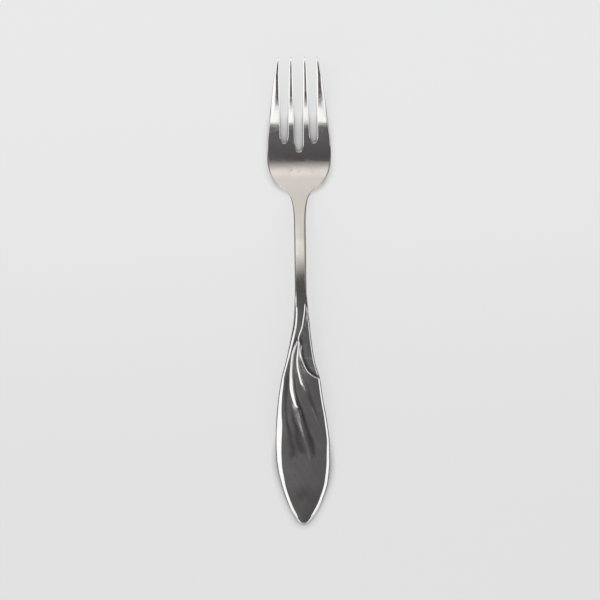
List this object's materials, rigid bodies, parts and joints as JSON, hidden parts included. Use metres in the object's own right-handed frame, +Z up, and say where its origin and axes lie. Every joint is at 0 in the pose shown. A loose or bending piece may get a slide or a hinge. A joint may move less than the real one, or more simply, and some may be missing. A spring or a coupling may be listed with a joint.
{
  "type": "dinner fork",
  "caption": "Dinner fork with curved tapering tines, broad shoulders, a slim arched neck and a leaf-shaped handle with swept folds in relief.",
  "frame": {"origin": "on the table plane under the middle of the fork's length and width", "axes": "+Y from the butt of the handle to the tips of the tines, +Z up, out of the hollow side of the head, +X to the right with the tines pointing away"},
  "size_m": [0.0262, 0.19, 0.0147],
  "materials": {
    "steel": "mirror polished stainless steel with fine wear"
  },
  "bodies": {
    "root": {"handle": "steel", "neck": "steel", "head": "steel", "tine_1": "steel", "tine_2": "steel", "tine_3": "steel", "tine_4": "steel"}
  },
  "joints": []
}
